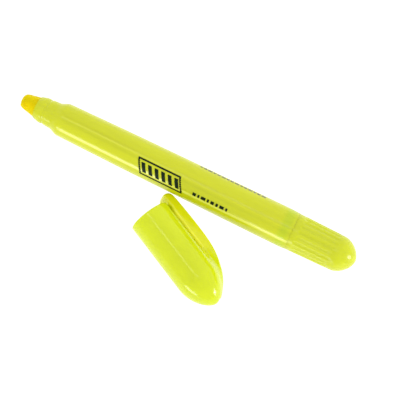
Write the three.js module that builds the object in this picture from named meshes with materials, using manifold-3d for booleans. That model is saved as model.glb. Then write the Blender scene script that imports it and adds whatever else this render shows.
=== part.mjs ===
// Twist-up gel highlighter with a separate clip cap, in millimetres, +Z up.
//
// The pen lies along X on the plane z = 0 with its nose towards -X, and stations along it are measured
// from the nose rim. Turning the knob turns the drive tube, whose threaded head feeds a screw that a
// double-flat bush keeps from turning, so the stick winds out or in. The cap lies beside the pen, rolled
// over until its clip rests on the plane too.

import * as THREE from 'three';
import { mergeVertices } from 'three/addons/utils/BufferGeometryUtils.js';
import Module from 'manifold-3d';

const wasm = await Module();
wasm.setup();

// ---- driving dimensions -------------------------------------------------------------------------

// Nose and barrel, outside.
const NOSE_RIM_R = 4.05;
const NOSE_FRONT_R = 4.6;
const NOSE_BACK_R = 4.85;
const NOSE_BEVEL_X = 1.9;
const NOSE_GROOVE_X = [3.2, 4.3];
const NOSE_GROOVE_DEPTH = 0.16;
const SHOULDER_X = [6.6, 10.6];
const BARREL_TAPER = [[10.6, 6.05], [36, 6.43], [62, 6.6], [97, 6.82]];
const BARREL_END_X = 99.4;
const BARREL_END_R = 6.76;
const BARREL_MAX_R = 6.82;

// Barrel, inside: stick bore, carrier cavity, bush and drive seat, collar seat.
const STICK_BORE_R = 3.82;
const STICK_BORE_END_X = 9.3;
const CAVITY_X = 10.2;
const CAVITY_R = 5.0;
const BUSH_SEAT_X = 60.2;
const BUSH_SEAT_R = 5.35;
const COLLAR_SEAT_X = 88.2;
const COLLAR_SEAT_R = 5.72;

// Gel stick: blunt cone outside the nose, plain rod inside.
const STICK_R = 3.7;
const STICK_TIP_X = -6.1;
const STICK_FLAT_R = 2.15;
const STICK_EDGE = [0.25, 0.42];
const STICK_CONE_START = [-5.3, 2.75];
const STICK_CONE_END_X = -0.2;
const STICK_END_X = 48.9;

// Carrier cup behind the stick.
const CARRIER_X = [42, 52];
const CARRIER_R = 4.85;
const CARRIER_BORE_R = 3.75;
const CARRIER_FLOOR_X = 49;
const SCREW_HEAD_X = 50.2;
const SCREW_HEAD_R = 2.4;

// Feed screw: left-hand thread with two flats, so that a clockwise turn of the knob feeds the stick out.
const SCREW_END_X = 109;
const THREAD_START_X = 54;
const THREAD_LEAD = 5;
const THREAD_CORE_R = 1.9;
const THREAD_CREST_R = 2.9;
const THREAD_ROOT_WIDTH = 2.3;
const THREAD_CREST_WIDTH = 1.1;
const THREAD_SUNK = 0.4;
const THREAD_STEPS = 12;
const SCREW_FLAT = 2.0;
const BUSH_FLAT = 2.2;
const BUSH_HOLE_R = 3.1;
const BUSH_LENGTH = 6;

// Drive tube with its threaded head, flange, drag ring and bearing collar.
const DRIVE_X = [67, 117.5];
const DRIVE_HEAD_X = 77;
const DRIVE_HEAD_R = 4.9;
const DRIVE_THREAD_END_X = 75;
const DRIVE_R = 3.9;
const DRIVE_BORE_R = 3.15;
const DRIVE_FLANGE_X = [84.5, 86.3];
const DRIVE_FLANGE_R = 5.15;
const DRIVE_THREAD_GAP = 0.28;
const RING_X = 87.35;
const RING_R = 4.58;
const RING_SECTION_R = 0.62;
const COLLAR_X = [88.4, 99.2];
const COLLAR_BORE_R = 4.1;
const SEAT_GAP = 0.05;

// Turning knob.
const KNOB_X = [99.7, 123.3];
const KNOB_COLLAR_R = 6.58;
const KNOB_EDGE = 0.25;
const KNOB_COLLAR_X = 101.3;
const KNOB_REAR_R = 6.3;
const KNOB_DOME_X = 116.6;
const KNOB_DOME_POWER = 1.75;
const KNOB_SOCKET_X = 118;
const GROOVE_COUNT = 20;
const GROOVE_X = [101.9, 115.2];
const GROOVE_CUT_R = 0.75;
const GROOVE_DEPTH = 0.36;

// Cap shell; its own stations run from the mouth rim to the dome.
const CAP_LENGTH = 38.35;
const CAP_R = 7.3;
const CAP_DOME_X = 27.4;
const CAP_DOME_POWER = 1.7;
const CAP_BORE_R = 6.5;
const CAP_BORE_DOME_X = 26.5;
const CAP_BORE_END_X = 36.9;
const CAP_RIM_ROUND = 0.2;

// Soft seal cup inside the cap.
const SEAL_X = [22.6, 36.4];
const SEAL_DOME_X = 26.2;
const SEAL_R = 6.2;
const SEAL_BORE_R = 4.95;
const SEAL_BORE_DOME_X = 27.6;
const SEAL_BORE_END_X = 35.2;

// Clip, moulded on the cap: side outline as station along the cap and height above its axis.
const CLIP_WIDTH = 6;
const CLIP_BEVEL = 0.5;
const CLIP_BACK = [
  [36.6, 3.6], [34.6, 5.7], [32, 7.5], [29, 9.0], [25.3, 10.35],
  [21, 11.35], [16, 11.75], [8, 11.75], [0, 11.4], [-2.5, 10.9],
];
const CLIP_TIP = [[-3.8, 10.0], [-3.6, 8.8], [-2.6, 7.9], [-1.2, 7.7], [0.6, 7.8]];
const CLIP_TIP_ROUND = 2.2;
const CLIP_SLOT_X = 23.6;
const CLIP_SLOT_R = [6.9, 7.8];
const CLIP_FOOT_X = [24.5, 36.8];
const CLIP_FOOT_R = 2;
const CLIP_TAPER_X = 22;
const CLIP_NARROW_X = 34;
const CLIP_APEX_HALF = 1.2;

// Where the cap lies beside the pen.
const CAP_MOUTH = [53.3, -17.5];
const CAP_YAW = -26.2;
const CAP_ROLL = -24.5;

// How far a cutting shape runs past what it cuts.
const CUT_PAST = 1;

const OUTER_SEGMENTS = 48;
const INNER_SEGMENTS = 32;

// ---- materials ----------------------------------------------------------------------------------

const plastic = (color, roughness) => new THREE.MeshStandardMaterial({ color, roughness, metalness: 0 });
const barrelPlastic = plastic(0xd6dd36, 0.25);
const knobPlastic = plastic(0xd8df3e, 0.25);
const capPlastic = plastic(0xdae440, 0.22);
const gelInk = plastic(0xe6d010, 0.5);
const whitePlastic = plastic(0xe9eadf, 0.45);
const sealPlastic = plastic(0xf2f3e8, 0.55);
const drivePlastic = plastic(0xdfe3c8, 0.4);
const rubber = plastic(0x2b2c2a, 0.8);

// ---- shape helpers ------------------------------------------------------------------------------

// Merges shared vertices and drops the empty triangles that a turned shape has on its axis.
function welded(geometry) {
  const bare = geometry.clone();
  bare.deleteAttribute('normal');
  bare.deleteAttribute('uv');
  const merged = mergeVertices(bare);
  const source = merged.index.array;
  const kept = [];
  for (let i = 0; i < source.length; i += 3) {
    const [a, b, c] = source.slice(i, i + 3);
    if (a !== b && b !== c && c !== a) kept.push(a, b, c);
  }
  merged.setIndex(kept);
  return merged;
}

function toSolid(geometry) {
  const body = welded(geometry);
  return new wasm.Manifold(new wasm.Mesh({
    numProp: 3,
    vertProperties: new Float32Array(body.attributes.position.array),
    triVerts: new Uint32Array(body.index.array),
  }));
}

function fromSolid(solid) {
  const mesh = solid.getMesh();
  const geometry = new THREE.BufferGeometry();
  geometry.setAttribute('position', new THREE.BufferAttribute(mesh.vertProperties, 3));
  geometry.setIndex(new THREE.BufferAttribute(mesh.triVerts, 1));
  geometry.computeVertexNormals();
  return geometry;
}

// Turns a profile of [station, radius] points about X. The profile starts and ends on the axis, or
// closes on itself.
function turned(profile, segments = OUTER_SEGMENTS) {
  const last = profile.length - 1;
  const closed = profile[0][1] > 0 || profile[last][1] > 0;
  const outline = closed ? [...profile, profile[0]] : profile;
  const points = outline.map(([x, r]) => new THREE.Vector2(r, x));
  if (THREE.ShapeUtils.area(points) < 0) points.reverse();
  const geometry = new THREE.LatheGeometry(points, segments);
  return geometry.rotateZ(-Math.PI / 2);
}

// A cylinder along X between two stations.
function rod(x0, x1, radius, segments = INNER_SEGMENTS) {
  return turned([[x0, 0], [x0, radius], [x1, radius], [x1, 0]], segments);
}

// A soft S between two stations, without its last point.
function shoulder([x0, x1], r0, r1, steps) {
  return Array.from({ length: steps }, (_, i) => {
    const t = i / steps;
    return [x0 + (x1 - x0) * t, r0 + (r1 - r0) * (1 - Math.cos(Math.PI * t)) / 2];
  });
}

// A dome from its base to the axis, pointed a little more than an ellipse when power is under 2.
function dome(x0, x1, radius, power, steps) {
  return Array.from({ length: steps + 1 }, (_, i) => {
    const t = Math.sin(Math.PI / 2 * i / steps);
    const r = i === steps ? 0 : radius * (1 - t ** power) ** (1 / power);
    return [x0 + (x1 - x0) * t, r];
  });
}

// A left-hand helical ridge on the X axis, with a trapezoid section given at its two radii.
function helicalRidge(x0, x1, [rootR, rootWidth], [crestR, crestWidth]) {
  const section = [
    [-rootWidth / 2, rootR], [-crestWidth / 2, crestR], [crestWidth / 2, crestR], [rootWidth / 2, rootR],
  ];
  const steps = Math.round((x1 - x0) / THREAD_LEAD * THREAD_STEPS);
  const positions = [];
  const faces = [];
  for (let i = 0; i <= steps; i += 1) {
    const turn = -2 * Math.PI * i / THREAD_STEPS;
    const x = x0 + THREAD_LEAD * i / THREAD_STEPS;
    for (const [dx, r] of section) positions.push(x + dx, r * Math.cos(turn), r * Math.sin(turn));
  }
  for (let i = 0; i < steps; i += 1) {
    for (let j = 0; j < 4; j += 1) {
      const a = 4 * i + j;
      const b = 4 * i + (j + 1) % 4;
      faces.push(a, b, a + 4, b, b + 4, a + 4);
    }
  }
  const end = 4 * steps;
  faces.push(0, 2, 1, 0, 3, 2);
  faces.push(end, end + 1, end + 2, end, end + 2, end + 3);
  const geometry = new THREE.BufferGeometry();
  geometry.setAttribute('position', new THREE.Float32BufferAttribute(positions, 3));
  geometry.setIndex(faces);
  return geometry;
}

function named(name, geometry, material) {
  const mesh = new THREE.Mesh(geometry, material);
  mesh.name = name;
  return mesh;
}

// ---- pen body -----------------------------------------------------------------------------------

// A shallow ring groove around the nose.
function noseGroove() {
  const [x0, x1] = NOSE_GROOVE_X;
  const side = (x1 - x0) / 4;
  const slope = (NOSE_BACK_R - NOSE_FRONT_R) / (SHOULDER_X[0] - NOSE_BEVEL_X);
  const surface = (x) => NOSE_FRONT_R + slope * (x - NOSE_BEVEL_X);
  return [
    [x0, surface(x0)],
    [x0 + side, surface(x0 + side) - NOSE_GROOVE_DEPTH],
    [x1 - side, surface(x1 - side) - NOSE_GROOVE_DEPTH],
    [x1, surface(x1)],
  ];
}

function barrel() {
  const outside = [
    [0, NOSE_RIM_R],
    [NOSE_BEVEL_X, NOSE_FRONT_R],
    ...noseGroove(),
    ...shoulder(SHOULDER_X, NOSE_BACK_R, BARREL_TAPER[0][1], 6),
    ...BARREL_TAPER,
    [BARREL_END_X, BARREL_END_R],
  ];
  const inside = [
    [BARREL_END_X, COLLAR_SEAT_R],
    [COLLAR_SEAT_X, COLLAR_SEAT_R],
    [COLLAR_SEAT_X, BUSH_SEAT_R],
    [BUSH_SEAT_X, BUSH_SEAT_R],
    [BUSH_SEAT_X, CAVITY_R],
    [CAVITY_X, CAVITY_R],
    [STICK_BORE_END_X, STICK_BORE_R],
    [0, STICK_BORE_R],
  ];
  return turned([...outside, ...inside]);
}

// Fixed bush whose double-flat hole guides the feed screw and keeps it from turning.
function guideBush() {
  const start = BUSH_SEAT_X + SEAT_GAP;
  const disc = toSolid(rod(start, start + BUSH_LENGTH, BUSH_SEAT_R - SEAT_GAP, OUTER_SEGMENTS));
  const hole = toSolid(rod(start - CUT_PAST, start + BUSH_LENGTH + CUT_PAST, BUSH_HOLE_R));
  const slot = new THREE.BoxGeometry(BUSH_LENGTH + 4 * CUT_PAST, 4 * BUSH_HOLE_R, 2 * BUSH_FLAT);
  slot.translate(start + BUSH_LENGTH / 2, 0, 0);
  return fromSolid(disc.subtract(hole.intersect(toSolid(slot))));
}

function endCollar() {
  const outerR = COLLAR_SEAT_R - SEAT_GAP;
  const [x0, x1] = COLLAR_X;
  return turned([[x0, outerR], [x1, outerR], [x1, COLLAR_BORE_R], [x0, COLLAR_BORE_R]]);
}

// ---- stick and feed -----------------------------------------------------------------------------

function gelStick() {
  return turned([
    [STICK_TIP_X, 0],
    [STICK_TIP_X, STICK_FLAT_R],
    [STICK_TIP_X + STICK_EDGE[0], STICK_FLAT_R + STICK_EDGE[1]],
    STICK_CONE_START,
    [STICK_CONE_END_X, STICK_R],
    [STICK_END_X, STICK_R],
    [STICK_END_X, 0],
  ]);
}

function stickCarrier() {
  const [x0, x1] = CARRIER_X;
  const pocketR = SCREW_HEAD_R + SEAT_GAP;
  const pocketX = SCREW_HEAD_X - SEAT_GAP;
  return turned([
    [CARRIER_FLOOR_X, 0],
    [CARRIER_FLOOR_X, CARRIER_BORE_R],
    [x0, CARRIER_BORE_R],
    [x0, CARRIER_R],
    [x1, CARRIER_R],
    [x1, pocketR],
    [pocketX, pocketR],
    [pocketX, 0],
  ]);
}

// Core and thread as one solid, grown by a gap when it is used as a cutter.
function threadedRod(x0, x1, gap) {
  const coreR = THREAD_CORE_R + gap;
  const core = toSolid(rod(x0, x1, coreR, THREAD_STEPS));
  const ridge = helicalRidge(
    THREAD_START_X + THREAD_ROOT_WIDTH,
    SCREW_END_X - THREAD_ROOT_WIDTH,
    [coreR - THREAD_SUNK, THREAD_ROOT_WIDTH + 2 * gap],
    [THREAD_CREST_R + gap, THREAD_CREST_WIDTH + 2 * gap],
  );
  const window = toSolid(rod(x0, x1, 2 * THREAD_CREST_R, THREAD_STEPS));
  return core.add(toSolid(ridge).intersect(window));
}

function feedScrew() {
  const [, carrierEnd] = CARRIER_X;
  const length = SCREW_END_X - carrierEnd;
  const slab = new THREE.BoxGeometry(length + 4 * CUT_PAST, 4 * THREAD_CREST_R, 2 * SCREW_FLAT);
  slab.translate(carrierEnd + length / 2, 0, 0);
  const shank = threadedRod(carrierEnd - CUT_PAST, SCREW_END_X, 0).intersect(toSolid(slab));
  const head = toSolid(rod(SCREW_HEAD_X, carrierEnd, SCREW_HEAD_R));
  return fromSolid(shank.add(head));
}

// ---- drive --------------------------------------------------------------------------------------

function driveTube() {
  const [x0, x1] = DRIVE_X;
  const [flange0, flange1] = DRIVE_FLANGE_X;
  const body = toSolid(turned([
    [x0, 0],
    [x0, DRIVE_HEAD_R],
    [DRIVE_HEAD_X, DRIVE_HEAD_R],
    [DRIVE_HEAD_X, DRIVE_R],
    [flange0, DRIVE_R],
    [flange0, DRIVE_FLANGE_R],
    [flange1, DRIVE_FLANGE_R],
    [flange1, DRIVE_R],
    [x1, DRIVE_R],
    [x1, 0],
  ], INNER_SEGMENTS));
  const thread = threadedRod(x0 - CUT_PAST, DRIVE_THREAD_END_X + CUT_PAST, DRIVE_THREAD_GAP);
  const bore = toSolid(rod(DRIVE_THREAD_END_X, x1 + CUT_PAST, DRIVE_BORE_R));
  return fromSolid(body.subtract(thread).subtract(bore));
}

function frictionRing() {
  const ring = new THREE.TorusGeometry(RING_R, RING_SECTION_R, 10, INNER_SEGMENTS);
  ring.rotateY(Math.PI / 2);
  return ring.translate(RING_X, 0, 0);
}

function knob() {
  const [x0, x1] = KNOB_X;
  const socketR = DRIVE_R + SEAT_GAP;
  const body = toSolid(turned([
    [x0, socketR],
    [KNOB_SOCKET_X, socketR],
    [KNOB_SOCKET_X, 0],
    ...dome(KNOB_DOME_X, x1, KNOB_REAR_R, KNOB_DOME_POWER, 9).reverse(),
    [KNOB_COLLAR_X, KNOB_COLLAR_R],
    [x0 + KNOB_EDGE, KNOB_COLLAR_R],
    [x0, KNOB_COLLAR_R - KNOB_EDGE],
  ]));
  const [g0, g1] = GROOVE_X;
  const slope = (KNOB_COLLAR_R - KNOB_REAR_R) / (KNOB_DOME_X - KNOB_COLLAR_X);
  let ribbed = body;
  for (let i = 0; i < GROOVE_COUNT; i += 1) {
    const cutter = new THREE.CapsuleGeometry(GROOVE_CUT_R, g1 - g0 - 2 * GROOVE_CUT_R, 2, 8);
    cutter.rotateZ(Math.PI / 2 - Math.atan(slope));
    const middle = (g0 + g1) / 2;
    const surface = KNOB_COLLAR_R - slope * (middle - KNOB_COLLAR_X);
    cutter.translate(middle, surface + GROOVE_CUT_R - GROOVE_DEPTH, 0);
    cutter.rotateX(2 * Math.PI * (i + 0.5) / GROOVE_COUNT);
    ribbed = ribbed.subtract(toSolid(cutter));
  }
  return fromSolid(ribbed);
}

// ---- cap ----------------------------------------------------------------------------------------

// The clip's side outline cut to its plan, which narrows over the dome.
function clip() {
  const slot = new THREE.Vector2(CLIP_SLOT_X, (CLIP_SLOT_R[0] + CLIP_SLOT_R[1]) / 2);
  const side = new THREE.Shape();
  const pair = ([x, r]) => new THREE.Vector2(x, r);
  side.moveTo(CLIP_FOOT_X[1], CLIP_FOOT_R);
  side.lineTo(...CLIP_BACK[0]);
  side.splineThru(CLIP_BACK.slice(1).map(pair));
  side.splineThru(CLIP_TIP.map(pair));
  side.lineTo(slot.x, CLIP_SLOT_R[1]);
  side.absarc(slot.x, slot.y, (CLIP_SLOT_R[1] - CLIP_SLOT_R[0]) / 2, Math.PI / 2, -Math.PI / 2, true);
  side.lineTo(CLIP_FOOT_X[0], CLIP_FOOT_R);
  side.closePath();
  const depth = CLIP_WIDTH - 2 * CLIP_BEVEL;
  const bar = new THREE.ExtrudeGeometry(side, {
    depth,
    curveSegments: 3,
    bevelSegments: 2,
    bevelSize: CLIP_BEVEL,
    bevelThickness: CLIP_BEVEL,
    bevelOffset: -CLIP_BEVEL,
  });
  bar.translate(0, 0, -depth / 2);

  const half = CLIP_WIDTH / 2;
  const [tip] = CLIP_TIP[0];
  const clear = half + CUT_PAST;
  const round = CLIP_TIP_ROUND;
  const plan = new THREE.Shape();
  plan.moveTo(tip + 2 * round, -clear);
  plan.lineTo(CLIP_TAPER_X, -clear);
  plan.bezierCurveTo(CAP_DOME_X, -half, CLIP_NARROW_X, -half, CAP_LENGTH, -CLIP_APEX_HALF);
  plan.lineTo(CAP_LENGTH, CLIP_APEX_HALF);
  plan.bezierCurveTo(CLIP_NARROW_X, half, CAP_DOME_X, half, CLIP_TAPER_X, clear);
  plan.lineTo(tip + 2 * round, clear);
  plan.absarc(tip + round, half - round, round, Math.PI / 2, Math.PI);
  plan.absarc(tip + round, round - half, round, Math.PI, 3 * Math.PI / 2);
  plan.closePath();
  const cutter = new THREE.ExtrudeGeometry(plan, { depth: 2 * CAP_R, curveSegments: 4, bevelEnabled: false });
  cutter.rotateX(-Math.PI / 2);
  return toSolid(bar).intersect(toSolid(cutter));
}

function capShell() {
  const outside = toSolid(turned([
    [0, 0],
    [0, CAP_R - CAP_RIM_ROUND],
    [CAP_RIM_ROUND, CAP_R],
    ...dome(CAP_DOME_X, CAP_LENGTH, CAP_R, CAP_DOME_POWER, 10),
  ]));
  const bore = toSolid(turned([
    [-CUT_PAST, 0],
    [-CUT_PAST, CAP_BORE_R],
    ...dome(CAP_BORE_DOME_X, CAP_BORE_END_X, CAP_BORE_R, CAP_DOME_POWER, 7),
  ]));
  return fromSolid(outside.add(clip()).subtract(bore));
}

function capSeal() {
  const [x0, x1] = SEAL_X;
  return turned([
    ...dome(SEAL_BORE_DOME_X, SEAL_BORE_END_X, SEAL_BORE_R, CAP_DOME_POWER, 6).reverse(),
    [x0, SEAL_BORE_R],
    [x0, SEAL_R],
    ...dome(SEAL_DOME_X, x1, SEAL_R, CAP_DOME_POWER, 7),
  ], INNER_SEGMENTS);
}

// ---- assembly -----------------------------------------------------------------------------------

const pen = new THREE.Group();
pen.add(
  named('barrel', barrel(), barrelPlastic),
  named('guide_bush', guideBush(), whitePlastic),
  named('end_collar', endCollar(), barrelPlastic),
  named('gel_stick', gelStick(), gelInk),
  named('stick_carrier', stickCarrier(), whitePlastic),
  named('feed_screw', feedScrew(), whitePlastic),
  named('drive_tube', driveTube(), drivePlastic),
  named('friction_ring', frictionRing(), rubber),
  named('knob', knob(), knobPlastic),
);
pen.position.z = BARREL_MAX_R;

const cap = new THREE.Group();
cap.add(
  named('cap_shell', capShell(), capPlastic),
  named('cap_seal', capSeal(), sealPlastic),
);
cap.rotation.set(THREE.MathUtils.degToRad(CAP_ROLL), 0, THREE.MathUtils.degToRad(CAP_YAW), 'ZYX');
cap.position.set(CAP_MOUTH[0], CAP_MOUTH[1], 0);
cap.position.z = -new THREE.Box3().setFromObject(cap, true).min.z;

// The row's origin is the middle of the object's footprint, on the plane it lies on.
const highlighter = new THREE.Group();
highlighter.add(pen, cap);
const footprint = new THREE.Box3().setFromObject(highlighter, true).getCenter(new THREE.Vector3());
highlighter.position.set(-footprint.x, -footprint.y, 0);

export default highlighter;
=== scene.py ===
"""Twist-up gel highlighter with its cap off, on a white table.

Lengths in this file are millimetres in two working frames, and metres once a mesh is made:
- the pen's: X along its axis from the nose rim to the knob;
- the cap's: X along its axis from the mouth to the dome, Y towards the clip.
"""

import math

import bpy
import numpy as np
from mathutils import Matrix, Vector


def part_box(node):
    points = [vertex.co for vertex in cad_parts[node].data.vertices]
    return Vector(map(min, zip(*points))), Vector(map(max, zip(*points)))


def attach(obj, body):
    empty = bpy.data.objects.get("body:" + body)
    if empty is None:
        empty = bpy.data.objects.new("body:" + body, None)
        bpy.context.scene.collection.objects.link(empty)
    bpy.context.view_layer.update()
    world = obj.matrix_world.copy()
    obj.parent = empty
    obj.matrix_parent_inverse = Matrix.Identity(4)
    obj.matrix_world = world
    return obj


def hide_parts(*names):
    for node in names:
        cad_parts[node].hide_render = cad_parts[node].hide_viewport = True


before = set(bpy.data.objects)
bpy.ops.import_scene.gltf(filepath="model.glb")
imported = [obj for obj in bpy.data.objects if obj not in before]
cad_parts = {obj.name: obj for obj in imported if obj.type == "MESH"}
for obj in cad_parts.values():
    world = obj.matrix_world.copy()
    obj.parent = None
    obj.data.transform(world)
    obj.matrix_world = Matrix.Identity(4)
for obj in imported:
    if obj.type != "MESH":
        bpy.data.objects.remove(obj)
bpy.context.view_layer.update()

MM = 0.001
barrel_low, barrel_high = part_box("barrel")
PEN_ORIGIN = Vector((barrel_low.x, (barrel_low.y + barrel_high.y) / 2, (barrel_low.z + barrel_high.z) / 2))

# ---- dimensions in mm; X is a station along the axis, R a radius --------------------------------

# Barrel, outside.
NOSE_RIM_R = 4.05
NOSE_FRONT_R = 4.6
NOSE_BACK_R = 4.85
NOSE_BEVEL_X = 1.9
NOSE_GROOVE_X = 3.75
NOSE_GROOVE_HALF = 0.28
NOSE_GROOVE_DEPTH = 0.2
SHOULDER_X = (6.6, 10.6)
TAPER = [(10.6, 6.05), (36.0, 6.43), (62.0, 6.6), (97.0, 6.82)]
TAPER_ROUND = 4.0
BARREL_END_X = 99.6
BARREL_END_R = 6.64

# Barrel, inside.
STICK_BORE_R = 3.82
STICK_BORE_END_X = 9.3
CAVITY_X = 10.2
CAVITY_R = 5.0
BUSH_SEAT_X = 60.2
BUSH_SEAT_R = 5.35
COLLAR_SEAT_X = 88.2
COLLAR_SEAT_R = 5.72

# Gel stick.
STICK_R = 3.7
STICK_TIP_X = -6.1
STICK_TIP_R = 2.5
STICK_CONE_END_X = -0.2
STICK_END_X = 48.9
STICK_WORN_X = (-5.2, -1.0)

# Turning knob. Its seam with the barrel is only a hairline.
SEAM_GAP = 0.01
SEAM_ROUND = 0.03
KNOB_X = (BARREL_END_X + SEAM_GAP, 123.3)
KNOB_COLLAR_R = 6.58
KNOB_COLLAR_X = 101.3
KNOB_REAR_R = 6.3
KNOB_DOME_X = 116.6
KNOB_DOME_POWER = 1.75
KNOB_SOCKET_X = 118
KNOB_SOCKET_R = 3.95
GROOVE_COUNT = 20
GROOVE_DEPTH = 0.28
GROOVE_SHARE = 0.9
GROOVE_START_X = (101.3, 102.8)
GROOVE_END_X = (113.8, 116.1)

# Cap.
CAP_LENGTH = 38.35
CAP_R = 7.3
CAP_DOME_X = 27.4
CAP_POWER = 1.7
CAP_BORE_R = 6.5
CAP_BORE_DOME_X = 26.5
CAP_BORE_END_X = 36.9
CAP_MOUTH_ROUND = 0.25
CAP_BORE_ROUND = 0.12
CAP_YAW = math.radians(-26.2)
CAP_ROLL = math.radians(-24.5)

# Soft liner in the cap's dome.
SEAL_X = (22.6, 36.4)
SEAL_DOME_X = 26.2
SEAL_R = 6.2
SEAL_BORE_R = 4.95
SEAL_BORE_DOME_X = 27.6
SEAL_BORE_END_X = 35.2


# ---- mesh helpers -------------------------------------------------------------------------------

def place_pen(points):
    """Points in the pen's frame, in mm, as points in the frame shared with the CAD, in metres."""
    return np.asarray(points, float) * MM + np.array(PEN_ORIGIN)


def make_object(name, points, faces, body, sharp=35):
    """A smooth-shaded mesh from points in metres, riding on a CAD body."""
    mesh = bpy.data.meshes.new(name)
    mesh.from_pydata([tuple(p) for p in points], [], [tuple(int(i) for i in f) for f in faces])
    mesh.validate()
    mesh.polygons.foreach_set("use_smooth", [True] * len(mesh.polygons))
    if sharp:
        mesh.set_sharp_from_angle(angle=math.radians(sharp))
    obj = bpy.data.objects.new(name, mesh)
    bpy.context.scene.collection.objects.link(obj)
    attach(obj, body)
    return obj


def rounded(corners, steps=6):
    """An outline of (x, r, round) corners, each cut back by its own round and joined by a curve."""
    points = []
    count = len(corners)
    for i, (x, r, cut) in enumerate(corners):
        here = np.array([x, r], float)
        if cut <= 0 or i in (0, count - 1):
            points.append(here)
            continue
        before = np.array(corners[i - 1][:2], float) - here
        after = np.array(corners[i + 1][:2], float) - here
        a = here + before / np.linalg.norm(before) * min(cut, 0.5 * np.linalg.norm(before))
        b = here + after / np.linalg.norm(after) * min(cut, 0.5 * np.linalg.norm(after))
        for t in np.linspace(0, 1, steps):
            points.append((1 - t) ** 2 * a + 2 * t * (1 - t) * here + t ** 2 * b)
    return points


def densify(outline, longest=1.2):
    """The outline with long stretches divided, so that shading stays even."""
    points = [outline[0]]
    for a, b in zip(outline[:-1], outline[1:]):
        parts = max(1, int(math.ceil(np.linalg.norm(np.subtract(b, a)) / longest)))
        points += [np.add(a, np.subtract(b, a) * k / parts) for k in range(1, parts + 1)]
    return points


def lathe(outline, segments=128):
    """Points and faces of an outline of (x, r) turned about X. Ends on the axis are closed to a point;
    any other outline closes on itself."""
    outline = [np.asarray(p, float) for p in outline]
    open_ends = outline[0][1] < 1e-6 and outline[-1][1] < 1e-6
    angles = 2 * math.pi * np.arange(segments) / segments
    ring = np.stack([np.cos(angles), np.sin(angles)], 1)
    points, rows = [], []
    for x, r in outline:
        if r < 1e-6:
            rows.append([len(points)] * segments)
            points.append((x, 0, 0))
        else:
            start = len(points)
            rows.append(list(range(start, start + segments)))
            points += [(x, r * c, r * s) for c, s in ring]
    pairs = list(zip(rows[:-1], rows[1:]))
    if not open_ends:
        pairs.append((rows[-1], rows[0]))
    faces = []
    for a, b in pairs:
        for j in range(segments):
            k = (j + 1) % segments
            quad = [a[j], a[k], b[k], b[j]]
            faces.append([v for n, v in enumerate(quad) if v not in quad[:n]])
    return np.array(points, float), faces


def dome_outline(x0, x1, radius, power, steps):
    """A pointed dome's outline, from its base to its tip on the axis."""
    t = np.sin(np.linspace(0, math.pi / 2, steps + 1))
    r = radius * np.maximum(1 - t ** power, 0) ** (1 / power)
    return [(x0 + (x1 - x0) * a, b) for a, b in zip(t, r)]


def smoothstep(a, b, x):
    """0 before a, 1 after b, and a smooth rise between them."""
    t = np.clip((np.asarray(x, float) - a) / (b - a), 0, 1)
    return t * t * (3 - 2 * t)


# ---- barrel -------------------------------------------------------------------------------------

def barrel_radius(x):
    """The barrel's outer radius behind its shoulder."""
    xs, rs = zip(*TAPER)
    return np.interp(x, xs, rs)


def shoulder_outline(steps=16):
    """A half cosine wave from the nose up to the start of the taper."""
    t = np.linspace(0, 1, steps + 1)[:-1]
    x = SHOULDER_X[0] + (SHOULDER_X[1] - SHOULDER_X[0]) * t
    r = NOSE_BACK_R + (TAPER[0][1] - NOSE_BACK_R) * (1 - np.cos(math.pi * t)) / 2
    return [(a, b, 0) for a, b in zip(x, r)]


def nose_groove():
    """The shallow ring groove round the nose."""
    middle, half = NOSE_GROOVE_X, NOSE_GROOVE_HALF
    top = np.interp(middle, [NOSE_BEVEL_X, SHOULDER_X[0]], [NOSE_FRONT_R, NOSE_BACK_R])
    floor = top - NOSE_GROOVE_DEPTH
    return [
        (middle - 2 * half, top, 0.2),
        (middle - half, floor, 0.15),
        (middle + half, floor, 0.15),
        (middle + 2 * half, top, 0.2),
    ]


def barrel_piece():
    corners = [
        (0.4, STICK_BORE_R, 0),
        (0.0, STICK_BORE_R, 0.06),
        (0.0, NOSE_RIM_R, 0.1),
        (NOSE_BEVEL_X, NOSE_FRONT_R, 0.5),
        *nose_groove(),
        *shoulder_outline(),
        *[(x, r, TAPER_ROUND) for x, r in TAPER],
        (BARREL_END_X, BARREL_END_R, SEAM_ROUND),
        (BARREL_END_X, COLLAR_SEAT_R, 0.1),
        (COLLAR_SEAT_X, COLLAR_SEAT_R, 0),
        (COLLAR_SEAT_X, BUSH_SEAT_R, 0),
        (BUSH_SEAT_X, BUSH_SEAT_R, 0),
        (BUSH_SEAT_X, CAVITY_R, 0),
        (CAVITY_X, CAVITY_R, 0.3),
        (STICK_BORE_END_X, STICK_BORE_R, 0.3),
        (0.5, STICK_BORE_R, 0),
    ]
    points, faces = lathe(densify(rounded(corners)), 160)
    piece = make_object("barrel_shell", place_pen(points), faces, "barrel")
    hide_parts("barrel")
    return piece


# ---- gel stick ----------------------------------------------------------------------------------

def worn(points):
    """The stick's end made a little uneven, as pressed wax is."""
    x, y, z = points.T
    near_tip = 1 - smoothstep(*STICK_WORN_X, x)
    swell = 0.05 * np.sin(2.1 * y + 0.7) * np.cos(1.7 * z + 1.3) + 0.03 * np.sin(4.3 * z + 2.0 * y)
    out_of_round = 0.02 * near_tip * np.sin(3 * np.arctan2(z, y) + 0.5)
    points[:, 0] += near_tip * (0.05 + swell)
    points[:, 1:] *= (1 + out_of_round)[:, None]
    return points


def gel_piece():
    corners = [
        (STICK_TIP_X, 0, 0),
        (STICK_TIP_X, STICK_TIP_R, 1.6),
        (STICK_CONE_END_X, STICK_R, 0.4),
        (STICK_END_X, STICK_R, 0.2),
        (STICK_END_X, 0, 0),
    ]
    points, faces = lathe(densify(rounded(corners, 9), 0.5), 96)
    piece = make_object("gel_ink_stick", place_pen(worn(points)), faces, "stick")
    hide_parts("gel_stick")
    return piece


# ---- knob ---------------------------------------------------------------------------------------

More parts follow.
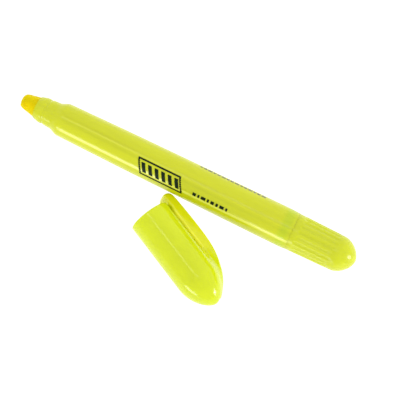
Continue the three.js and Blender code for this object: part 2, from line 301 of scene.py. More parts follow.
def groove_cut(x, angle):
    """How deep the knob is cut at a station and angle: round-bottomed grooves that fade at both ends."""
    along = smoothstep(*GROOVE_START_X, x) * (1 - smoothstep(*GROOVE_END_X, x))
    phase = (angle * GROOVE_COUNT / (2 * math.pi)) % 1.0
    across = np.abs(phase - 0.5) * 2
    return GROOVE_DEPTH * along * (1 - smoothstep(0.0, GROOVE_SHARE, across))


def grooved(points):
    """The knob's points with the grooves cut into its outside; its socket stays round."""
    x, y, z = points.T
    radius = np.hypot(y, z)
    cut = groove_cut(x, np.arctan2(z, y)) * (radius > 1.2 * KNOB_SOCKET_R)
    points[:, 1:] *= (1 - cut / np.maximum(radius, 1e-6))[:, None]
    return points


def knob_piece():
    x0, x1 = KNOB_X
    socket = [(KNOB_SOCKET_X, 0.0), (KNOB_SOCKET_X, KNOB_SOCKET_R), (x0, KNOB_SOCKET_R)]
    corners = [
        (x0, KNOB_SOCKET_R, 0),
        (x0, KNOB_COLLAR_R, SEAM_ROUND),
        (KNOB_COLLAR_X, KNOB_COLLAR_R, 0.5),
    ]
    dome = dome_outline(KNOB_DOME_X, x1, KNOB_REAR_R, KNOB_DOME_POWER, 30)
    outside = densify(rounded(corners, 7) + [np.array(p) for p in dome], 0.25)
    points, faces = lathe(densify(socket, 3.0)[:-1] + outside, GROOVE_COUNT * 20)
    piece = make_object("turning_knob", place_pen(grooved(points)), faces, "knob", 50)
    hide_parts("knob")
    return piece


# ---- cap: one skin over a distance field --------------------------------------------------------

# The clip's side outline: its back, its tip, the root of the slot under it, and a foot in the body.
CLIP_BACK = [
    (37.4, 2.55), (36.6, 3.7), (34.6, 5.8), (32.0, 7.65), (29.0, 9.05), (25.3, 10.4),
    (21.0, 11.35), (16.0, 11.75), (8.0, 11.75), (0.0, 11.4), (-2.5, 10.9),
]
CLIP_TIP = [(-3.8, 10.0), (-3.6, 8.8), (-2.6, 7.9), (-1.2, 7.7), (0.6, 7.8)]
CLIP_FOOT = [(24.5, 2.0), (36.8, 2.0)]
CLIP_SLOT = (23.6, 7.35)
CLIP_SLOT_ROUND = 0.22
CLIP_HALF_WIDTH = 3.0
CLIP_TIP_ROUND = 2.2
# How round the clip's edges are near its tip, and how much rounder over the dome.
CLIP_EDGE = 0.7
CLIP_EDGE_GAIN = 0.5
CLIP_EDGE_X = (22.0, 30.0)
# The fillet between clip and body: almost none along the slot, wide behind it, less on the dome.
SLOT_FILLET = 0.06
CLIP_FILLET = 2.6
CLIP_FILLET_X = (17.0, 23.0)
CLIP_FILLET_LOSS = 0.6
CLIP_FILLET_LOSS_X = (29.0, 37.0)


def through(points, per_span=6):
    """A Catmull-Rom curve through the points."""
    p = [np.array(q, float) for q in points]
    p = [2 * p[0] - p[1]] + p + [2 * p[-1] - p[-2]]
    curve = []
    for a, b, c, d in zip(p[:-3], p[1:-2], p[2:-1], p[3:]):
        for t in np.arange(per_span) / per_span:
            curve.append(0.5 * (2 * b + (c - a) * t + (2 * a - 5 * b + 4 * c - d) * t ** 2
                                + (3 * b - a - 3 * c + d) * t ** 3))
    curve.append(p[-2])
    return curve


def clip_outline():
    x, y = CLIP_SLOT
    turn = np.linspace(math.pi / 2, -math.pi / 2, 9)
    slot = [(x + CLIP_SLOT_ROUND * math.cos(a), y + CLIP_SLOT_ROUND * math.sin(a)) for a in turn]
    return np.array([*through(CLIP_BACK + CLIP_TIP), *slot, *CLIP_FOOT])


def outline_distance(points, outline):
    """Signed distance in the plane from points to a closed outline, negative inside."""
    px, py = points[:, 0], points[:, 1]
    best = np.full(len(points), np.inf)
    inside = np.zeros(len(points), bool)
    for (ax, ay), (bx, by) in zip(outline, np.roll(outline, -1, 0)):
        ex, ey = bx - ax, by - ay
        t = np.clip(((px - ax) * ex + (py - ay) * ey) / (ex * ex + ey * ey), 0, 1)
        best = np.minimum(best, (px - ax - t * ex) ** 2 + (py - ay - t * ey) ** 2)
        if ay != by:
            crosses = (ay > py) != (by > py)
            inside ^= crosses & (px < ex * (py - ay) / ey + ax)
    return np.where(inside, -1, 1) * np.sqrt(best)


def dome_distance(s, rho, radius, base, end, power):
    """Distance to a closed tube whose end is a pointed dome."""
    length = end - base
    u = np.maximum(s - base, 0) / length
    v = np.maximum(rho, 1e-4) / radius
    value = u ** power + v ** power - 1
    slope = np.hypot(power * u ** (power - 1) / length, power * v ** (power - 1) / radius)
    return value / np.maximum(slope, 1e-3)


def round_meet(a, b, radius):
    """Where both a and b are inside, with the edge between them rounded."""
    u, v = a + radius, b + radius
    outer = np.hypot(np.maximum(u, 0), np.maximum(v, 0))
    return outer + np.minimum(np.maximum(u, v), 0) - radius


def soft_join(a, b, width):
    """Where either is inside, with a fillet of that width where they meet."""
    h = np.maximum(width - np.abs(a - b), 0) / width
    return np.minimum(a, b) - h * h * width / 4


def clip_half_width(s):
    """The clip narrows over the dome and rounds off at its tip."""
    over_dome = 1 - 0.6 * smoothstep(CAP_DOME_X, CAP_LENGTH, s)
    from_tip = np.clip((s - CLIP_TIP[0][0]) / CLIP_TIP_ROUND, 0, 1)
    corner = CLIP_TIP_ROUND * (1 - np.sqrt(1 - (1 - from_tip) ** 2))
    return CLIP_HALF_WIDTH * over_dome - corner


CLIP_OUTLINE = clip_outline()


def cap_field(points):
    """Signed distance to the cap with its clip, near enough: negative in the plastic."""
    s, y, z = points.T
    rho = np.hypot(y, z)
    body = dome_distance(s, rho, CAP_R, CAP_DOME_X, CAP_LENGTH, CAP_POWER)
    body = round_meet(body, -s, CAP_MOUTH_ROUND)
    side = outline_distance(points[:, :2], CLIP_OUTLINE)
    edge = CLIP_EDGE + CLIP_EDGE_GAIN * smoothstep(*CLIP_EDGE_X, s)
    clip = round_meet(side, np.abs(z) - clip_half_width(s), edge)
    wide = smoothstep(*CLIP_FILLET_X, s) * (1 - CLIP_FILLET_LOSS * smoothstep(*CLIP_FILLET_LOSS_X, s))
    outside = soft_join(body, clip, SLOT_FILLET + CLIP_FILLET * wide)
    bore = dome_distance(s, rho, CAP_BORE_R, CAP_BORE_DOME_X, CAP_BORE_END_X, CAP_POWER)
    return round_meet(outside, -bore, CAP_BORE_ROUND)


def edge_crossings(grid, value, step, axis):
    """Along one axis: which grid edges the zero level crosses, where, and whether they start inside."""
    first = [slice(None)] * 3
    second = [slice(None)] * 3
    first[axis] = slice(0, -1)
    second[axis] = slice(1, None)
    a, b = value[tuple(first)], value[tuple(second)]
    crossed = (a < 0) != (b < 0)
    share = np.where(crossed, a / np.where(crossed, a - b, 1), 0)
    where = grid[tuple(first)].copy()
    where[..., axis] += share * step[axis]
    return crossed, where, a < 0


def cell_points(crossings, cells):
    """The mean crossing of each cell that the zero level passes through, and each cell's point number."""
    total = np.zeros((*cells, 3))
    hits = np.zeros(cells)
    for axis, (crossed, where, _) in enumerate(crossings):
        u, v = [k for k in range(3) if k != axis]
        for i, j in ((0, 0), (0, 1), (1, 0), (1, 1)):
            part = [slice(None)] * 3
            part[u] = slice(i, i + cells[u])
            part[v] = slice(j, j + cells[v])
            hit = crossed[tuple(part)]
            total += np.where(hit[..., None], where[tuple(part)], 0)
            hits += hit
    used = hits > 0
    index = np.full(cells, -1)
    index[used] = np.arange(used.sum())
    return total[used] / hits[used][:, None], index


def cell_quads(crossings, index):
    """A quad round each crossed edge, through the points of the four cells that meet there."""
    quads = []
    for axis, (crossed, _, from_inside) in enumerate(crossings):
        u, v = [k for k in range(3) if k != axis]
        for at in np.argwhere(crossed):
            if at[u] == 0 or at[v] == 0:
                continue
            quad = []
            for i, j in ((0, 0), (1, 0), (1, 1), (0, 1)):
                cell = at.copy()
                cell[u] -= i
                cell[v] -= j
                quad.append(index[tuple(cell)])
            if from_inside[tuple(at)] == (axis == 1):
                quad.reverse()
            quads.append(quad)
    return np.array(quads)


def surface_net(field, low, high, step):
    """Points and quads of a field's zero level: one point in each cell that it crosses, then moved
    onto it exactly. The step is a cell's size along each axis."""
    low, high, step = (np.array(v, float) for v in (low, high, step))
    counts = np.ceil((high - low) / step).astype(int) + 1
    axes = [low[i] + step[i] * np.arange(counts[i]) for i in range(3)]
    grid = np.stack(np.meshgrid(*axes, indexing="ij"), -1)
    value = field(grid.reshape(-1, 3)).reshape(counts)
    crossings = [edge_crossings(grid, value, step, axis) for axis in range(3)]
    points, index = cell_points(crossings, counts - 1)
    quads = cell_quads(crossings, index)
    for _ in range(3):
        points = onto_zero(field, relaxed(points, quads))
    return onto_zero(field, points), quads


def relaxed(points, quads):
    """Each point moved halfway to the mean of its neighbours."""
    edges = np.concatenate([quads[:, [i, (i + 1) % 4]] for i in range(4)])
    edges = np.concatenate([edges, edges[:, ::-1]])
    total = np.zeros_like(points)
    count = np.zeros(len(points))
    np.add.at(total, edges[:, 0], points[edges[:, 1]])
    np.add.at(count, edges[:, 0], 1)
    return 0.5 * points + 0.5 * total / np.maximum(count, 1)[:, None]


def onto_zero(field, points, tiny=1e-3, furthest=0.3):
    """Each point moved down the field's slope to its zero level, by at most the furthest move."""
    value = field(points)
    slope = np.stack([
        (field(points + tiny * step) - field(points - tiny * step)) / (2 * tiny) for step in np.eye(3)
    ], 1)
    size = np.maximum((slope ** 2).sum(1), 0.05)
    move = slope * (value / size)[:, None]
    return points - np.clip(move, -furthest, furthest)


# The region that holds the cap, and the cells' size in it: flat enough to resolve the slot.
CAP_REGION = ((-4.6, -8.2, -8.2), (39.2, 12.8, 8.2))
CAP_CELL = (0.34, 0.18, 0.34)
CAP_CELL_ROUGH = (0.7, 0.7, 0.7)


def cap_matrix():
    """How the cap lies: rolled onto its clip, then turned on the table."""
    return Matrix.Rotation(CAP_YAW, 3, "Z") @ Matrix.Rotation(CAP_ROLL, 3, "X")


CAP_TURN = np.array(cap_matrix())


def cap_place():
    """Where the mouth's centre lies: it puts the outer shell's box on the CAD node's box."""
    low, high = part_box("cap_shell")
    points, _ = surface_net(cap_field, *CAP_REGION, CAP_CELL_ROUGH)
    turned = points @ CAP_TURN.T * MM
    middle = (np.array(low) + np.array(high)) / 2
    place = middle - (turned.min(0) + turned.max(0)) / 2
    place[2] = low.z - turned[:, 2].min()
    return place


CAP_PLACE = cap_place()


def place_cap(points):
    """Points in the cap's frame, in mm, as points in the frame shared with the CAD, in metres."""
    return np.asarray(points, float) @ CAP_TURN.T * MM + CAP_PLACE


# Where the clip's painted deeper yellow and the slot's painted glow fade in and out.
CLIP_SHADE_R = (CAP_R + 0.02, CAP_R + 0.5)
CLIP_SHADE_END_X = (18.0, 28.0)
SLOT_GLOW_START_X = (1.5, 5.0)
SLOT_GLOW_END_X = (17.5, 22.0)
SLOT_GLOW_LOW = (6.3, 6.8)
SLOT_GLOW_HIGH = (7.9, 8.3)
SLOT_GLOW_SIDE = (CLIP_HALF_WIDTH, CLIP_HALF_WIDTH + 0.5)


def clip_shade_share(points):
    """1 on the clip, where a painted deeper yellow stands for light through the thick clip and the shade
    under it, fading to 0 on the cap's body and dome.
    """
    s, y, z = points.T
    off_body = smoothstep(*CLIP_SHADE_R, np.hypot(y, z))
    return off_body * (1 - smoothstep(*CLIP_SHADE_END_X, s))


def slot_glow_share(points):
    """1 on the faces and edges along the slot between body and clip, where the plastic's glow is painted on
    as a pale colour.
    """
    s, y, z = points.T
    along = smoothstep(*SLOT_GLOW_START_X, s) * (1 - smoothstep(*SLOT_GLOW_END_X, s))
    height = smoothstep(*SLOT_GLOW_LOW, y) * (1 - smoothstep(*SLOT_GLOW_HIGH, y))
    return along * height * (1 - smoothstep(*SLOT_GLOW_SIDE, np.abs(z)))


def cap_piece():
    cell = CAP_CELL
    points, quads = surface_net(cap_field, *CAP_REGION, cell)
    piece = make_object("cap_with_clip", place_cap(points), quads, "cap", 0)
    # Shares of the clip's painted shade and the slot's painted glow, kept on the points for the material.
    for share in (clip_shade_share, slot_glow_share):
        attribute = piece.data.attributes.new(share.__name__, "FLOAT", "POINT")
        attribute.data.foreach_set("value", share(points))
    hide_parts("cap_shell")
    return piece


def seal_piece():
    x0, x1 = SEAL_X
    lip = [
        (SEAL_BORE_DOME_X - 1.6, SEAL_BORE_R, 0),
        (x0, SEAL_BORE_R, 0.3),
        (x0, SEAL_R, 0.3),
        (SEAL_DOME_X - 1.2, SEAL_R, 0),
    ]
    inside = dome_outline(SEAL_BORE_DOME_X, SEAL_BORE_END_X, SEAL_BORE_R, CAP_POWER, 14)
    outside = dome_outline(SEAL_DOME_X, x1, SEAL_R, CAP_POWER, 14)
    points, faces = lathe(densify(inside[::-1] + rounded(lip) + outside), 96)
    piece = make_object("cap_liner", place_cap(points), faces, "cap")
    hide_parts("cap_seal")
    return piece


# ---- printed marks ------------------------------------------------------------------------------

PRINT_LIFT = 0.02
PRINT_THICK = 0.03
PRINT_STEP = (0.5, 0.3)
# The camera looks from above and the front, so the print's middle line is turned a little towards it.
PRINT_TURN = math.radians(103)


def patch_points(x_range, v_range, columns, rows, lift):
    """A grid of points that stands off the barrel by the lift."""
    points = []
    for x in np.linspace(*x_range, columns):
        for v in np.linspace(*v_range, rows):
            r = barrel_radius(x)
            angle = PRINT_TURN + v / r
            points.append((x, (r + lift) * math.cos(angle), (r + lift) * math.sin(angle)))
    return points


def patch_faces(start, columns, rows):
    """Faces of a thin closed patch: the lower grid, the upper grid, and the rim between them."""
    faces = []
    layer = columns * rows
    for c in range(columns - 1):
        for k in range(rows - 1):
            a = start + c * rows + k
            quad = [a, a + 1, a + rows + 1, a + rows]
            faces.append(quad)
            faces.append([q + layer for q in reversed(quad)])
    rim = [start + c * rows for c in range(columns)]
    rim += [start + (columns - 1) * rows + k for k in range(1, rows)]
    rim += [start + c * rows + rows - 1 for c in range(columns - 2, -1, -1)]
    rim += [start + k for k in range(rows - 2, 0, -1)]
    for a, b in zip(rim, rim[1:] + rim[:1]):
        faces.append([a, a + layer, b + layer, b])
    return faces


def printed(name, shapes):
    """Flat shapes wrapped on the barrel. Each shape is (x0, x1, low, high): its stations, and its edges
    in mm around the barrel from the print's middle line."""
    points, faces = [], []
    for x0, x1, low, high in shapes:
        columns = max(2, int(math.ceil((x1 - x0) / PRINT_STEP[0])) + 1)
        rows = max(2, int(math.ceil((high - low) / PRINT_STEP[1])) + 1)
        faces += patch_faces(len(points), columns, rows)
        for lift in (PRINT_LIFT, PRINT_LIFT + PRINT_THICK):
            points += patch_points((x0, x1), (low, high), columns, rows, lift)
    piece = make_object(name, place_pen(points), faces, "barrel", 30)
    return piece


MARK_X = (41.2, 59.2)
MARK_V = (0.6, 5.4)
MARK_SLANT = 2.2
MARK_LINE = 0.6
MARK_BARS = 6
# Shares of a bar's pitch and of the frame's slant, and the bars' distance from the frame's lines.
MARK_BAR_START = 0.22
MARK_BAR_WIDTH = 0.56
MARK_BAR_LEAN = (0.2, 0.7)
MARK_BAR_INSET = 0.7
DASH_START_X = 63.4
DASH_V = (3.1, 4.3)
DASH_LENGTHS = (1.3, 0.7, 1.7, 0.7, 1.3, 0.9, 1.6, 0.7)
DASH_GAP = 0.62
SMALL_DASH_START_X = 61.4
SMALL_DASH_V = (-8.3, -7.5)
SMALL_DASH_COUNT = 15
SMALL_DASH_GAP = 0.45


def slanted_bar(x0, width, low, high, slant):
    """An upright bar that leans along the pen: its left edge moves by slant from low to high."""
    steps = 8
    height = (high - low) / steps
    bars = []
    for k in range(steps):
        lean = slant * (k + 0.5) / steps
        bars.append((x0 + lean, x0 + lean + width, low + k * height, low + (k + 1) * height))
    return bars


def mark_shapes():
    """A leaning frame with leaning bars in it, like a row of marker strokes."""
    (x0, x1), (low, high) = MARK_X, MARK_V
    line, slant = MARK_LINE, MARK_SLANT
    length = x1 - x0 - slant
    shapes = [(x0, x0 + length + line, low - line, low), (x0 + slant, x1 + line, high, high + line)]
    shapes += slanted_bar(x0, line, low, high, slant)
    shapes += slanted_bar(x0 + length, line, low, high, slant)
    pitch = (length - line) / MARK_BARS
    from_left, lean = [share * slant for share in MARK_BAR_LEAN]
    for k in range(MARK_BARS):
        start = x0 + line + (k + MARK_BAR_START) * pitch + from_left
        bar = (start, MARK_BAR_WIDTH * pitch, low + MARK_BAR_INSET, high - MARK_BAR_INSET, lean)
        shapes += slanted_bar(*bar)
    return shapes


def dash_row(x, v_range, lengths, gap):
    """A row of dashes from a station on."""
    shapes = []
    for length in lengths:
        shapes.append((x, x + length, *v_range))
        x += length + gap
    return shapes


def dash_shapes():
    """A row of dashes of mixed lengths."""
    return dash_row(DASH_START_X, DASH_V, DASH_LENGTHS, DASH_GAP)


def small_dash_shapes():
    """A fine row of dashes round on the far side, next to the barrel's upper outline."""
    lengths = [0.9 + 0.35 * (k % 3) for k in range(SMALL_DASH_COUNT)]
    return dash_row(SMALL_DASH_START_X, SMALL_DASH_V, lengths, SMALL_DASH_GAP)


# ---- materials ----------------------------------------------------------------------------------

class Nodes:
    """A small helper that makes a material's nodes and links."""

    def __init__(self, name):
        self.material = bpy.data.materials.new(name)
        self.material.use_nodes = True
        self.tree = self.material.node_tree
        self.tree.nodes.clear()
        output = self.tree.nodes.new("ShaderNodeOutputMaterial")
        self.shader = self.tree.nodes.new("ShaderNodeBsdfPrincipled")
        self.tree.links.new(self.shader.outputs[0], output.inputs["Surface"])

    def add(self, kind, **values):
        """A node, with each value set on the input of that name, or else as a setting."""
        node = self.tree.nodes.new(kind)
        for key, value in values.items():
            if key in node.inputs:
                node.inputs[key].default_value = value
            else:
                setattr(node, key, value)
        return node

    def link(self, source, target, name):
        self.tree.links.new(source, target.inputs[name])

    def set(self, **values):
        """Values for the shader's own inputs."""
        for key, value in values.items():
            self.shader.inputs[key.replace("_", " ")].default_value = value

    def noise(self, scale, detail=3.0, roughness=0.5):
        """Noise over the piece; its scale is in waves a metre, one number or one for each axis."""
        where = self.add("ShaderNodeTexCoord")
        mapping = self.add("ShaderNodeMapping")
        mapping.inputs["Scale"].default_value = scale if isinstance(scale, tuple) else (scale,) * 3
        self.link(where.outputs["Object"], mapping, "Vector")
        node = self.add("ShaderNodeTexNoise", Scale=1.0, Detail=detail, Roughness=roughness)
        self.link(mapping.outputs["Vector"], node, "Vector")
        return node.outputs["Fac"]

    def ramp(self, factor, stops):
        """Colours along a factor; each stop is (position, colour)."""
        node = self.add("ShaderNodeValToRGB")
        elements = node.color_ramp.elements
        while len(elements) < len(stops):
            elements.new(0.5)
        for element, (position, colour) in zip(elements, stops):
            element.position = position
            element.color = (*colour, 1)
        self.link(factor, node, "Fac")
        return node.outputs["Color"]

    def math(self, operation, *values):
        """Arithmetic on numbers and other nodes' outputs."""
        node = self.add("ShaderNodeMath", operation=operation)
        for socket, value in zip(node.inputs, values):
            if hasattr(value, "is_output"):
                self.tree.links.new(value, socket)
            else:
                socket.default_value = value
        return node.outputs[0]

    def multiply(self, a, b):
        node = self.add("ShaderNodeMix", data_type="RGBA", blend_type="MULTIPLY")
        node.inputs[0].default_value = 1.0
        self.tree.links.new(a, node.inputs[6])
        self.tree.links.new(b, node.inputs[7])
        return node.outputs[2]

    def mix(self, share, a, b):
        """Colour a where the share is 0, colour b where it is 1."""
        node = self.add("ShaderNodeMix", data_type="RGBA")
        for socket, source in ((0, share), (6, a), (7, b)):
            self.tree.links.new(source, node.inputs[socket])
        return node.outputs[2]

    def soft_step(self, value, low, high):
        """0 at low, 1 at high, and smooth between them."""
        node = self.add("ShaderNodeMapRange", interpolation_type="SMOOTHSTEP")
        node.inputs["From Min"].default_value = low
        node.inputs["From Max"].default_value = high
        self.link(value, node, "Value")
        return node.outputs["Result"]

    def mottled(self, colour, amount, scale):
        """A colour that wavers a little over the piece."""
        dark, light = spread(colour, amount)
        return self.ramp(self.noise(scale), [(0.3, dark), (0.7, light)])

    def bump(self, height, strength, distance):
        node = self.add("ShaderNodeBump", Strength=strength, Distance=distance)
        self.link(height, node, "Height")
        self.link(node.outputs["Normal"], self.shader, "Normal")


def spread(colour, amount):
    """A slightly darker and a slightly lighter version of a colour."""
    return (
        tuple(max(0.0, c * (1 - amount)) for c in colour),
        tuple(min(1.0, c * (1 + amount)) for c in colour),
    )


def plastic_nodes(name, colour, roughness, flow=(60, 420, 420), glow=0.25, radius=0.002):
    """Glossy coloured plastic with faint flow streaks, uneven gloss and a very slight orange peel.
    Flow is the streaks' scale along each axis; glow and radius say how much and how far light spreads
    under the surface. Returns the nodes and the colour's output."""
    nodes = Nodes(name)
    dark, light = spread(colour, 0.035)
    streaks = nodes.noise(flow, 4.0, 0.6)
    gloss = nodes.add("ShaderNodeMapRange")
    gloss.inputs["To Min"].default_value = roughness * 0.8
    gloss.inputs["To Max"].default_value = roughness * 1.25
    nodes.link(nodes.noise(500, 5.0), gloss, "Value")
    nodes.link(gloss.outputs["Result"], nodes.shader, "Roughness")
    nodes.bump(nodes.noise(900, 2.0), 0.06, 0.0002)
    nodes.set(IOR=1.46, Subsurface_Weight=glow, Subsurface_Radius=(1.0, 1.0, 0.25), Subsurface_Scale=radius)
    return nodes, nodes.ramp(streaks, [(0.3, dark), (0.7, light)])


def moulded_plastic(name, colour, roughness, **spread_of_light):
    nodes, tone = plastic_nodes(name, colour, roughness, **spread_of_light)
    nodes.link(tone, nodes.shader, "Base Color")
    return nodes.material


# Three ribs show inside the barrel as darker lines, with a painted highlight as a pale bluish line down the
# middle of each: how pale or dark the plastic is across each one, and where.
RIB_COUNT = 3
PLAIN = (1, 1, 1)
RIB_SHADE = (0.92, 0.92, 0.86)
RIB_EDGE = (0.99, 0.99, 0.98)
RIB_AND_SHEEN_PROFILE = [
    (0.0, PLAIN), (0.27, PLAIN), (0.385, RIB_SHADE), (0.46, RIB_EDGE),
    (0.5, (1.06, 1.05, 1.2)), (0.54, RIB_EDGE), (0.67, (0.92, 0.93, 0.86)), (0.8, PLAIN),
]
RIB_TURN = math.radians(95.4)
# The ribs lean a little: radians for each metre along the pen.
RIB_LEAN = 1.9
RIB_START_X = (10.2, 12.2)
# A painted highlight: a pale band along the barrel's lower side, where the tube gathers light.
CAUSTIC_HIGHLIGHT_TURN = math.radians(143.5)
CAUSTIC_HIGHLIGHT_WIDTH = math.radians(6.5)
CAUSTIC_HIGHLIGHT_COLOUR = (0.86, 0.90, 0.14)
COLLAR_ZONE_START_X = (94.2, 96.6)
COLLAR_ZONE_END_X = (97.6, 99.6)
COLLAR_ZONE_FALL = 0.7
COLLAR_ZONE_TINT = (0.86, 0.96, 0.95)


def metres(stations):
    return [x * MM for x in stations]


def barrel_plastic(name, colour):
    """Barrel plastic with its inner ribs and the collar in its rear end showing through faintly, a painted
    highlight down each rib's middle, and a painted highlight as a pale line along its side where the tube
    gathers light."""
    nodes, tone = plastic_nodes(name, colour, 0.19)
    where = nodes.add("ShaderNodeTexCoord")
    split = nodes.add("ShaderNodeSeparateXYZ")
    nodes.link(where.outputs["Object"], split, "Vector")
    along, across, up = [nodes.math("SUBTRACT", split.outputs[k], PEN_ORIGIN[k]) for k in range(3)]
    angle = nodes.math("ARCTAN2", up, across)
    lean = nodes.math("MULTIPLY", along, RIB_LEAN)
    turn = nodes.math("SUBTRACT", nodes.math("SUBTRACT", angle, RIB_TURN), lean)
    half_step = math.pi / RIB_COUNT
    from_rib = nodes.math("WRAP", turn, half_step, -half_step)
    # Each rib's darker lines, with a painted highlight down its middle.
    rib_and_sheen = nodes.ramp(nodes.math("ADD", from_rib, 0.5), RIB_AND_SHEEN_PROFILE)
    behind_nose = nodes.soft_step(along, *metres(RIB_START_X))
    ribbed = nodes.mix(behind_nose, tone, nodes.multiply(tone, rib_and_sheen))
    rise = nodes.soft_step(along, *metres(COLLAR_ZONE_START_X))
    fall = nodes.soft_step(along, *metres(COLLAR_ZONE_END_X))
    over_collar = nodes.math("SUBTRACT", rise, nodes.math("MULTIPLY", fall, COLLAR_ZONE_FALL))
    green = nodes.ramp(over_collar, [(0.0, PLAIN), (1.0, COLLAR_ZONE_TINT)])
    # The painted highlight's share, behind the nose only.
    from_highlight = nodes.math("ABSOLUTE", nodes.math("SUBTRACT", angle, CAUSTIC_HIGHLIGHT_TURN))
    glow = nodes.math("MULTIPLY", nodes.soft_step(from_highlight, CAUSTIC_HIGHLIGHT_WIDTH, 0.2 * CAUSTIC_HIGHLIGHT_WIDTH), behind_nose)
    pale = nodes.mottled(CAUSTIC_HIGHLIGHT_COLOUR, 0.02, 300)
    nodes.link(nodes.mix(glow, nodes.multiply(ribbed, green), pale), nodes.shader, "Base Color")
    return nodes.material


def cap_plastic(name, colour, clip_shade_colour, slot_glow_colour):
    """Cap plastic with a painted deeper yellow on the thick clip seen edge on, standing for light through
    it and the shade under it, and a painted glow, palest, along the slot under it.
    """
    nodes, tone = plastic_nodes(name, colour, 0.14, flow=(200, 200, 420), glow=0.3)
    on_clip = nodes.add("ShaderNodeAttribute", attribute_name="clip_shade_share").outputs["Fac"]
    in_slot_glow = nodes.add("ShaderNodeAttribute", attribute_name="slot_glow_share").outputs["Fac"]
    with_clip = nodes.mix(on_clip, tone, nodes.mottled(clip_shade_colour, 0.03, 300))
    with_slot_glow = nodes.mix(in_slot_glow, with_clip, nodes.mottled(slot_glow_colour, 0.02, 300))
    nodes.link(with_slot_glow, nodes.shader, "Base Color")
    return nodes.material


def gel_ink(name, colour):
    """Waxy, slightly see-through solid ink with a soft mottle."""
    nodes = Nodes(name)
    dark, light = spread(colour, 0.1)
    mottle = nodes.noise(450, 6.0, 0.65)
    nodes.link(nodes.ramp(mottle, [(0.3, dark), (0.7, light)]), nodes.shader, "Base Color")
    nodes.bump(nodes.noise(1400, 4.0), 0.25, 0.0002)
    nodes.set(Roughness=0.42, IOR=1.4, Subsurface_Weight=0.5, Subsurface_Radius=(1.0, 0.8, 0.1),
          Subsurface_Scale=0.0015, Specular_IOR_Level=0.08)
    return nodes.material


def ink_print(name, colour):
    """Printed ink, a little thin in places."""
    nodes = Nodes(name)
    dark, light = spread(colour, 0.35)
    patches = nodes.noise(1500)
    nodes.link(nodes.ramp(patches, [(0.35, dark), (0.75, light)]), nodes.shader, "Base Color")
    nodes.set(Roughness=0.5, Specular_IOR_Level=0.15)
    return nodes.material


def give(obj, material):
    """One material in place of any that the object has."""
    obj.data.materials.clear()
    obj.data.materials.append(material)


# ---- build --------------------------------------------------------------------------------------

BARREL_COLOUR = (0.63, 0.67, 0.008)
KNOB_COLOUR = (0.61, 0.66, 0.008)
CAP_COLOUR = (0.645, 0.735, 0.005)
# A painted deeper yellow for the clip, standing for light through thick plastic and shade under it.
CLIP_PAINTED_SHADE_COLOUR = (0.76, 0.77, 0.003)
# A painted glow, nearly white, along the slot under the clip.
SLOT_PAINTED_GLOW_COLOUR = (0.98, 0.97, 0.10)
GEL_COLOUR = (0.76, 0.61, 0.0)
SEAL_COLOUR = (0.7, 0.72, 0.6)
WHITE_COLOUR = (0.72, 0.72, 0.66)
DRIVE_COLOUR = (0.66, 0.68, 0.55)
RUBBER_COLOUR = (0.02, 0.02, 0.02)
INK_COLOUR = (0.004, 0.018, 0.003)
FAINT_INK_COLOUR = (0.16, 0.14, 0.16)

give(barrel_piece(), barrel_plastic("barrel_plastic", BARREL_COLOUR))
give(gel_piece(), gel_ink("gel_ink", GEL_COLOUR))
give(knob_piece(), moulded_plastic("knob_plastic", KNOB_COLOUR, 0.22, glow=0.45, radius=0.003))
give(cap_piece(), cap_plastic("cap_plastic", CAP_COLOUR, CLIP_PAINTED_SHADE_COLOUR, SLOT_PAINTED_GLOW_COLOUR))
give(seal_piece(), moulded_plastic("seal_plastic", SEAL_COLOUR, 0.45, glow=0.3))

white = moulded_plastic("white_plastic", WHITE_COLOUR, 0.4)
drive = moulded_plastic("drive_plastic", DRIVE_COLOUR, 0.35)
rubber = moulded_plastic("ring_rubber", RUBBER_COLOUR, 0.7, glow=0.0)
inner = moulded_plastic("collar_plastic", BARREL_COLOUR, 0.3)
inside_pieces = {
    "guide_bush": white,
    "end_collar": inner,
    "stick_carrier": white,
    "feed_screw": white,
    "drive_tube": drive,
    "friction_ring": rubber,
}
for node, material in inside_pieces.items():
    give(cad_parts[node], material)

ink = ink_print("print_ink", INK_COLOUR)
faint_ink = ink_print("print_faint_ink", FAINT_INK_COLOUR)
give(printed("print_mark", mark_shapes()), ink)
give(printed("print_dashes", dash_shapes()), ink)
give(printed("print_small_dashes", small_dash_shapes()), faint_ink)

# ---- table, light and camera --------------------------------------------------------------------

TABLE_HALF = 1.5
TABLE_GREY = (0.18, 0.18, 0.18, 1)
WHITE = (1, 1, 1, 1)
VIEW_TARGET = PEN_ORIGIN + Vector((66.17, -4.43, 0)) * MM
TOP_DIRECTION = (-0.117, -0.018, 0.992)


def table():
    """A plain pale floor."""
    mesh = bpy.data.meshes.new("table")
    half = TABLE_HALF
    corners = [(-half, -half, 0), (half, -half, 0), (half, half, 0), (-half, half, 0)]
    mesh.from_pydata(corners, [], [(0, 1, 2, 3)])
    obj = bpy.data.objects.new("table", mesh)
    bpy.context.scene.collection.objects.link(obj)
    nodes = Nodes("table_white")
    nodes.set(Base_Color=TABLE_GREY, Roughness=0.8, Emission_Color=WHITE, Emission_Strength=1.0)
    obj.data.materials.append(nodes.material)


def area_light(name, direction, distance, size, radiance):
    """A rectangle light turned to the view's target; its first size runs sideways as seen from there."""
    data = bpy.data.lights.new(name, "AREA")
    data.shape = "RECTANGLE"
    data.size, data.size_y = size
    data.energy = radiance * math.pi * size[0] * size[1]
    obj = bpy.data.objects.new(name, data)
    bpy.context.scene.collection.objects.link(obj)
    outward = Vector(direction).normalized()
    obj.location = VIEW_TARGET + outward * distance
    obj.rotation_euler = (-outward).to_track_quat("-Z", "Y").to_euler()
    return obj


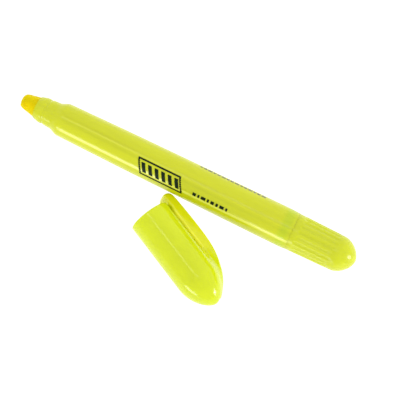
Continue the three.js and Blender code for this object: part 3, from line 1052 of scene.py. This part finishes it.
def camera(azimuth, elevation, distance, lens):
    """The camera, looking at the view's target; azimuth is from the front towards +X."""
    data = bpy.data.cameras.new("camera")
    data.sensor_width = 36
    data.lens = lens
    data.clip_start = 0.01
    obj = bpy.data.objects.new("camera", data)
    bpy.context.scene.collection.objects.link(obj)
    a, e = math.radians(azimuth), math.radians(elevation)
    back = Vector((math.sin(a) * math.cos(e), -math.cos(a) * math.cos(e), math.sin(e)))
    obj.location = VIEW_TARGET + back * distance
    obj.rotation_euler = (-back).to_track_quat("-Z", "Y").to_euler()
    bpy.context.scene.camera = obj


def studio_world(strength_back, strength_front, blend=0.7):
    """White all round, a little brighter behind the pen than in front of it. The change is spread over
    directions whose Y is within the blend."""
    world = bpy.data.worlds.new("studio")
    world.use_nodes = True
    nodes, links = world.node_tree.nodes, world.node_tree.links
    where = nodes.new("ShaderNodeTexCoord")
    split = nodes.new("ShaderNodeSeparateXYZ")
    level = nodes.new("ShaderNodeMapRange")
    level.inputs["From Min"].default_value = -blend
    level.inputs["From Max"].default_value = blend
    level.inputs["To Min"].default_value = strength_front
    level.inputs["To Max"].default_value = strength_back
    links.new(where.outputs["Generated"], split.inputs[0])
    links.new(split.outputs["Y"], level.inputs["Value"])
    links.new(level.outputs["Result"], nodes["Background"].inputs["Strength"])
    nodes["Background"].inputs["Color"].default_value = WHITE
    bpy.context.scene.world = world


table()
studio_world(strength_back=1.04, strength_front=0.84)
area_light("front_strip", (-0.2, -0.98, 0.08), distance=0.8, size=(0.5, 0.16), radiance=6.0)
area_light("side_box", (0.97, 0.07, 0.18), distance=0.8, size=(0.2, 0.2), radiance=14.0)
top = area_light("top_strip", TOP_DIRECTION, distance=1.0, size=(0.6, 0.06), radiance=3.5)
# The top strip lies along the table's X, not as seen from the target.
top.rotation_euler = (0, math.atan2(TOP_DIRECTION[0], TOP_DIRECTION[2]), 0)
camera(azimuth=26.8, elevation=75.0, distance=0.45, lens=117.2)
bpy.context.scene.view_settings.view_transform = "Standard"
